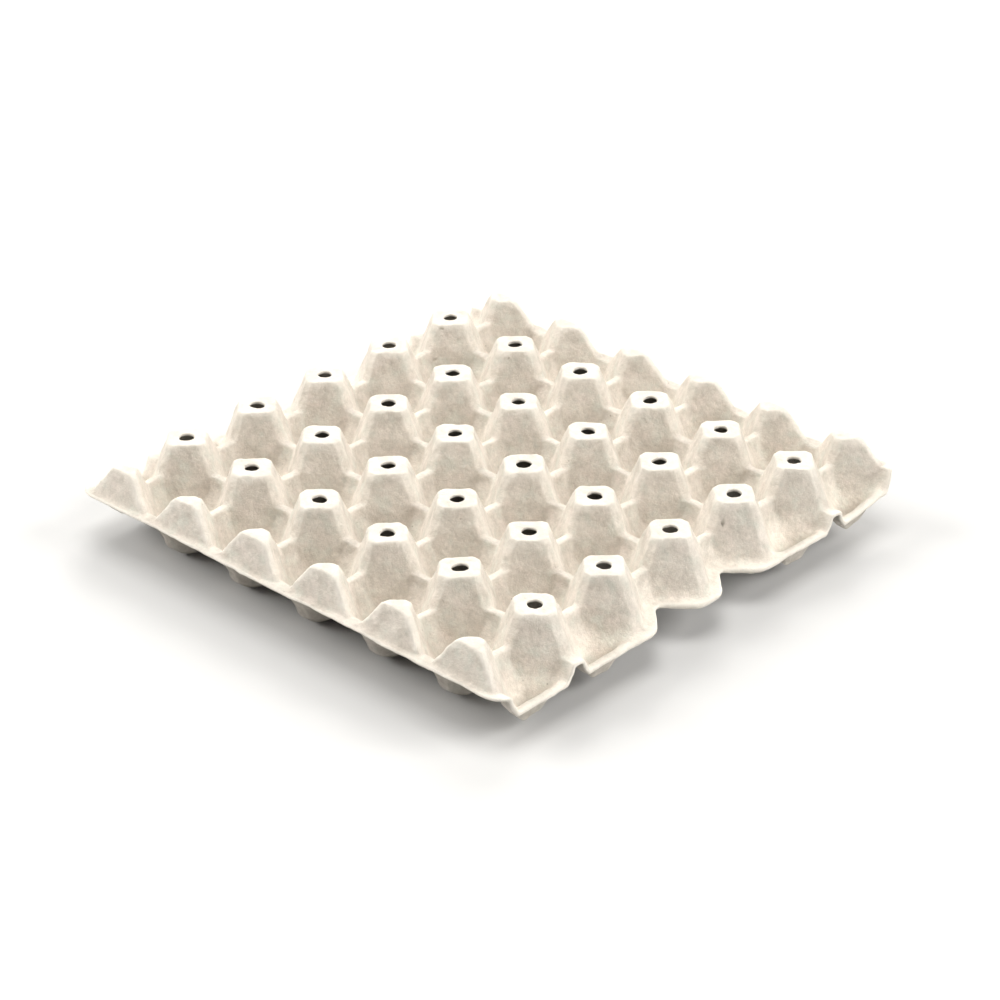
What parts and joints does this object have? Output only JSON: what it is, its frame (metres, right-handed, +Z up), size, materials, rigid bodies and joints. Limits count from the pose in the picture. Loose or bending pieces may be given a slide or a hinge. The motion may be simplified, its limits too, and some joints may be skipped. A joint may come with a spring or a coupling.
{
  "type": "egg tray",
  "caption": "Square moulded-pulp tray: a grid of cups between hollow posts holds eggs upright, and the posts carry the next tray of a stack.",
  "frame": {"origin": "middle of the tray's square outline, in the plane of its cup bottoms", "axes": "+X across the five columns of cups, towards a scalloped side; +Y along the six rows, towards a straight rim; +Z up, out of the cups"},
  "size_m": [0.297, 0.297, 0.0485],
  "materials": {
    "pulp": "matt pale grey moulded pulp"
  },
  "bodies": {
    "root": {"tray": "pulp"}
  },
  "joints": []
}
